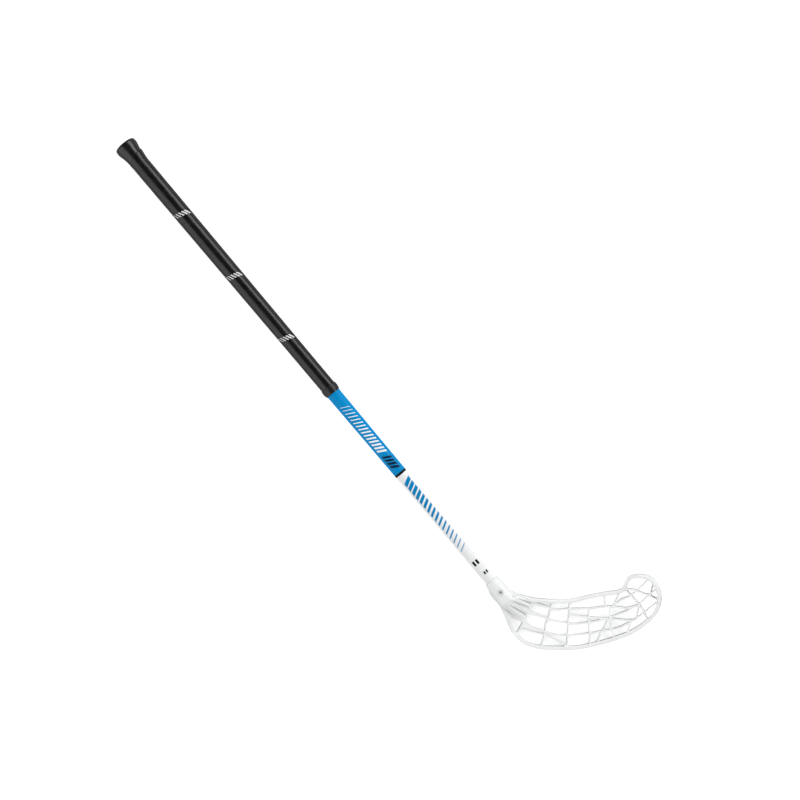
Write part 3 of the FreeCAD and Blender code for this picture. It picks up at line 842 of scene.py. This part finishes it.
# %% [markdown]
# ## The tape's skin
# Grip tape is a cushioned black skin with a fine pebbled grain. A Voronoi texture gives the pebbles, because
# its cells are round and closely packed, and a finer noise lies on top of them. Three rows of small pale bars
# are printed on the tape. They climb round the shaft as the winding does, so the distance along the shaft is
# first sheared by the slope of the winding.

# %% Black tape for the grip
tape_pitch = 21.0 * mm
tape_radius = float(tape_high.y)
tape_slope = tape_pitch / (2.0 * math.pi * tape_radius)
tape_blacks = ((0.003, 0.003, 0.003), (0.008, 0.008, 0.008))
mark_grey = (0.78, 0.78, 0.78)
pebble_scale = 900.0
first_mark = 142.0 * mm
mark_step = 125.0 * mm
marks_start = 71.0 * mm  # before the first row of marks
marks_end = 437.5 * mm  # after the third and last one


def tape_marks(tree):
    """A mask of the rows of bars that repeat along the grip."""
    place = use_group(tree, place_on_stick, radius=tape_radius)
    climb = math_step(tree, "MULTIPLY", place["Arc"], tape_slope)
    along = math_step(tree, "SUBTRACT", place["Distance"], climb)
    from_first = math_step(tree, "SUBTRACT", along, first_mark)
    near_mark = math_step(tree, "WRAP", from_first, mark_step / 2.0, -mark_step / 2.0)
    marks = use_group(tree, printed_bars, along=place["Arc"], across=near_mark, first=-13.0 * mm,
                      last=13.0 * mm, pitch=5.2 * mm, first_share=0.3, last_share=0.7, reach=3.8 * mm,
                      slant=0.6)["Mask"]
    for test, limit in (("GREATER_THAN", marks_start), ("LESS_THAN", marks_end)):
        marks = math_step(tree, "MULTIPLY", marks, math_step(tree, test, along, limit))
    return marks


def tape_finish():
    material, tree, shader = new_finish("black_grip_tape", Specular_IOR_Level=0.36)
    grain = use_group(tree, moulded_grain, grain=1100.0, flow=85.0)
    colour = mix_colours(tree, grain["Tone"], *tape_blacks)
    colour = mix_colours(tree, tape_marks(tree), colour, mark_grey)
    tree.links.new(colour, shader.inputs["Base Color"])
    vary_roughness(tree, shader, grain["Tone"], smoothest=0.2, roughest=0.3)
    pebbles = tree.nodes.new("ShaderNodeTexVoronoi")
    pebbles.inputs["Scale"].default_value = pebble_scale
    tree.links.new(object_point(tree), pebbles.inputs["Vector"])
    normal = add_bump(tree, shader, pebbles.outputs["Distance"], depth=0.035 * mm)
    add_bump(tree, shader, grain["Height"], depth=0.03 * mm, normal=normal)
    return material


black_grip_tape = tape_finish()
print("finish:", black_grip_tape.name)

# %% [markdown]
# ## The strip's section
# Grip tape is one long strip, wound down the shaft as a left-hand thread. Each turn laps a little over the
# turn above it, so the upper edge of every turn stands proud and its lower edge is pressed under the next.
# The section of the strip is worked out first, as the heights of its top and its underside over the shaft,
# from its raised upper edge to its tucked lower edge. The tape is pulled tighter towards the band, so it gets
# thinner that way.

# %% Work out the strip's section
tape_lap = 2.6 * mm
tape_width = tape_pitch + tape_lap
tape_thickness = 1.6 * mm
tape_clearance = 0.1 * mm
tucked_thickness = 0.9 * mm
tuck_margin = 0.6 * mm  # this near its lower edge the strip is pressed down fully
lift_margin = 0.4 * mm  # this near its upper edge it lies fully on the turn above
lip_height = 0.12 * mm  # how far its upper edge stands proud
lip_reach = 1.6 * mm
edge_drop = 0.35 * mm  # how far the corner of that edge is rounded down
edge_reach = 0.25 * mm
stretch_places = (60.0 * mm, 400.0 * mm)
stretch_shares = (1.08, 0.62)


def tape_stretch(x):
    """Share of its thickness that the tape keeps, because it is pulled tighter towards the band."""
    return float(np.interp(x, stretch_places, stretch_shares))


def wound_radius(x):
    """The radius of the grip over one layer of tape."""
    return shaft_radius(x) + tape_clearance + tape_thickness * tape_stretch(x)


def lap_fade(past_margin):
    """One up to a margin, falling to zero over the width of a lap."""
    return min(max(1.0 - past_margin / tape_lap, 0.0), 1.0)


def tape_section(share):
    """Top and underside of the strip over the shaft, at a share of its width from the upper edge."""
    off_edge = share * tape_width
    to_edge = tape_width - off_edge
    lip = lip_height * math.exp(-(off_edge / lip_reach) ** 2)
    edge_round = edge_drop * math.exp(-off_edge / edge_reach)
    tuck = (tape_thickness - tucked_thickness) * lap_fade(to_edge - tuck_margin)
    return tape_thickness + lip - edge_round - tuck, tucked_thickness * lap_fade(off_edge - lift_margin)


print(f"strip: {tape_width / mm:.1f} mm wide, {tape_thickness / mm:.1f} mm thick")

# %% [markdown]
# ## The grip tape
# A sweep lays the section across the shaft at each step of the winding and skins the rows of points. The
# trimmed ends simply narrow to nothing. Where the winding starts, one more lap lies over the cap's skirt. It
# is a closed ring whose upper edge is slanted and thicker on the toe side.

# %% Lay out the rows of points
crown_shares = [0.0, 0.004, 0.012, 0.025, 0.05, 0.09, 0.14, 0.2, 0.3,
                0.4, 0.5, 0.6, 0.7, 0.8, 0.87, 0.9, 0.94, 1.0]  # closer together where the strip curves
lap_shares = [0.0, 0.01, 0.03, 0.06, 0.1, 0.2, 0.35, 0.5, 0.65, 0.8, 0.9, 1.0]
lap_edge = 26.5 * mm  # where the first lap begins, on average
lap_slant = 5.0 * mm  # how much earlier it begins on the toe side
lap_end = tape_low.x + 3.0 * mm
lap_height = 0.95 * mm
lap_lean = 0.6  # how much of that height it gains on the toe side
lap_rise_reach = 0.9 * mm
lap_fall_power = 0.8
lap_film = 0.06 * mm  # how high its top lies where it is thinnest
lap_gap = 0.03 * mm  # how high its underside lies


def winding_point(x, radius, angle):
    """A point round the shaft's line. The angle grows in the sense of the left-hand winding."""
    return Vector((x, radius * math.cos(angle), -radius * math.sin(angle)))


def tape_row(turn, first_share, last_share):
    """Closed row of points round the strip's section at one place of the winding."""
    angle = 2.0 * math.pi * turn
    tops = []
    undersides = []
    for crown_share in crown_shares:
        share = first_share + (last_share - first_share) * crown_share
        x = tape_low.x + turn * tape_pitch + share * tape_width
        base = shaft_radius(x) + tape_clearance
        top, under = tape_section(share)
        tops.append(winding_point(x, base + top * tape_stretch(x), angle))
        undersides.append(winding_point(x, base + under * tape_stretch(x), angle))
    return tops + undersides[::-1]


def lap_row(angle):
    """Closed row of points round the section of the first lap, which lies over the cap's skirt."""
    edge = lap_edge - lap_slant * math.cos(angle)
    height = lap_height * (1.0 + lap_lean * math.cos(angle))
    tops = []
    undersides = []
    for share in lap_shares:
        x = edge + share * (lap_end - edge)
        base = wound_radius(x) if x > cap_end else cap_radius(x)
        rise = (1.0 - math.exp(-(x - edge) / lap_rise_reach)) * (1.0 - share) ** lap_fall_power
        tops.append(winding_point(x, base + lap_film + height * rise, angle))
        undersides.append(winding_point(x, base + lap_gap, angle))
    return tops + undersides[::-1]


print(f"{len(crown_shares)} points across the strip, {len(lap_shares)} across the first lap")

# %% Wind the tape
steps_per_turn = 72
tape_weld = 0.002 * mm


def add_sweep(shape, rows, closed=False):
    """Skins a list of closed rows of points, and joins the last row to the first if it is closed."""
    rings = [[shape.verts.new(point) for point in row] for row in rows]
    following_rings = rings[1:] + rings[:1] if closed else rings[1:]
    for ring, following in zip(rings, following_rings):
        for index in range(len(ring)):
            beside = (index + 1) % len(ring)
            shape.faces.new((ring[index], ring[beside], following[beside], following[index]))


def wind_tape():
    first_turn = -tape_width / tape_pitch
    last_turn = (tape_high.x - tape_low.x) / tape_pitch
    steps = int((last_turn - first_turn) * steps_per_turn)
    rows = []
    for step in range(steps + 1):
        turn = first_turn + (last_turn - first_turn) * step / steps
        start = tape_low.x + turn * tape_pitch
        first_share = max((tape_low.x - start) / tape_width, 0.0)
        last_share = min((tape_high.x - start) / tape_width, 1.0)
        rows.append(tape_row(turn, first_share, last_share))
    lap_angles = [2.0 * math.pi * step / steps_per_turn for step in range(steps_per_turn)]
    shape = bmesh.new()
    add_sweep(shape, rows)
    add_sweep(shape, [lap_row(angle) for angle in lap_angles], closed=True)
    bmesh.ops.remove_doubles(shape, verts=shape.verts, dist=tape_weld)
    bmesh.ops.dissolve_degenerate(shape, edges=shape.edges, dist=tape_weld)
    bmesh.ops.recalc_face_normals(shape, faces=shape.faces)
    print(f"tape: {last_turn - first_turn:.1f} turns")
    return mesh_from("grip_tape_winding", shape)


tape_mesh = wind_tape()
shade(tape_mesh, corner_angle=60.0)
finished_piece("grip_tape_winding", tape_mesh, black_grip_tape, "grip_tape")

# %% [markdown]
# ## The band's tape
# The band is smooth tape that is pulled tight, which leaves faint lines in it. A wave texture gives them, a
# little distorted so that they don't look ruled. The band is as black as the cap and the grip, so what tells
# it from them is that it is a little rougher and spreads the light more.

# %% Black tape for the band
band_blacks = ((0.004, 0.004, 0.004), (0.009, 0.009, 0.009))
line_scale = 260.0
line_distortion = 1.5


def band_finish():
    material, tree, shader = new_finish("black_band_tape", Specular_IOR_Level=0.36)
    grain = use_group(tree, moulded_grain, grain=1600.0, flow=120.0)
    tree.links.new(mix_colours(tree, grain["Tone"], *band_blacks), shader.inputs["Base Color"])
    vary_roughness(tree, shader, grain["Tone"], smoothest=0.28, roughest=0.42)
    lines = tree.nodes.new("ShaderNodeTexWave")
    lines.inputs["Scale"].default_value = line_scale
    lines.inputs["Distortion"].default_value = line_distortion
    tree.links.new(object_point(tree), lines.inputs["Vector"])
    normal = add_bump(tree, shader, lines.outputs["Fac"], depth=0.02 * mm)
    add_bump(tree, shader, grain["Height"], depth=0.01 * mm, normal=normal)
    return material


black_band_tape = band_finish()
print("finish:", black_band_tape.name)

# %% [markdown]
# ## The finishing band
# A short band of tape holds the grip's lower end down. Its bore is stepped, wide over the tape and close
# round the bare shaft. Its upper edge is thin, and its outside swells from there until it stands one wall
# above the tape. The solid's bevel then leads it down to the shaft.

# %% Turn the band
band_edge = 0.35 * mm
band_wall = 1.15 * mm
band_lip = 0.45 * mm  # how far its upper edge stands above the tape
band_swell = 3.0 * mm  # the length over which it rises from there to its full wall
band_clearance = 0.1 * mm


def turn_band():
    top, end = band_low.x, band_high.x
    over_tape = wound_radius(top)
    thick = over_tape + band_wall
    bevel = float(band_stations[np.isclose(band_radii, band_radii.max())].max())
    on_shaft = shaft_radius(end) + band_clearance
    step = float(tape_high.x) + band_clearance
    profile = [(top, over_tape), (top, over_tape + band_lip), (top + band_swell, thick), (bevel, thick),
               (end, float(band_radii[-1])), (end, on_shaft), (step, on_shaft), (step, over_tape)]
    return turned_mesh("finishing_band_wrap", rounded(profile, band_edge, steps=4))


band_mesh = turn_band()
shade(band_mesh, corner_angle=40.0)
finished_piece("finishing_band_wrap", band_mesh, black_band_tape, "finishing_band")

# %% [markdown]
# ## The screw's plating
# One zinc-plated screw holds the blade. Its finish is bright plating with a fine grain and duller spots.
# Little light reaches into the cross recess, so a mask on the height and on the distance from the screw's
# line darkens it. That dark is painted shade.

# %% Zinc for the screw
screw_low, screw_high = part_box("blade_screw")
screw_line = (screw_low.x + screw_high.x) / 2.0
zinc_greys = ((0.72, 0.72, 0.73), (0.86, 0.86, 0.87))
recess_shade_black = (0.05, 0.05, 0.05)
recess_heights = (screw_high.z - 0.9 * mm, screw_high.z - 0.1 * mm)  # from full painted shade to none
recess_radii = (2.0 * mm, 2.4 * mm)  # the painted shade ends between these


def screw_finish():
    material, tree, shader = new_finish("zinc_screw_steel", Metallic=0.4)
    grain = use_group(tree, moulded_grain, grain=4000.0, flow=500.0)
    parts = separate(tree, object_point(tree))
    off_line = math_step(tree, "SUBTRACT", parts["X"], screw_line)
    along_squared = math_step(tree, "POWER", off_line, 2.0)
    across_squared = math_step(tree, "POWER", parts["Y"], 2.0)
    from_line = math_step(tree, "SQRT", math_step(tree, "ADD", along_squared, across_squared))
    low = remap(tree, parts["Z"], recess_heights, (1.0, 0.0))
    near_line = remap(tree, from_line, recess_radii, (1.0, 0.0))
    colour = mix_colours(tree, grain["Tone"], *zinc_greys)
    # Painted shade in the cross recess.
    colour = mix_colours(tree, math_step(tree, "MULTIPLY", low, near_line), colour, recess_shade_black)
    tree.links.new(colour, shader.inputs["Base Color"])
    vary_roughness(tree, shader, grain["Tone"], smoothest=0.42, roughest=0.6)
    add_bump(tree, shader, grain["Height"], depth=0.01 * mm)
    return material


zinc_screw_steel = screw_finish()
print("finish:", zinc_screw_steel.name)

# %% [markdown]
# ## The screw
# The solid has the right shape with sharp edges. A headed screw is forged and tumbled, so it gets the blade's
# kind of skin, with far finer voxels.

# %% Skin the screw
screw_voxel = 0.1 * mm
screw_smoothing = 4
screw_kept_share = 0.3

screw_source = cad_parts["blade_screw"].data.copy()
screw_mesh = skinned_mesh("blade_screw_plated", screw_source, screw_voxel, screw_smoothing, screw_kept_share)
finished_piece("blade_screw_plated", screw_mesh, zinc_screw_steel, "blade_screw")
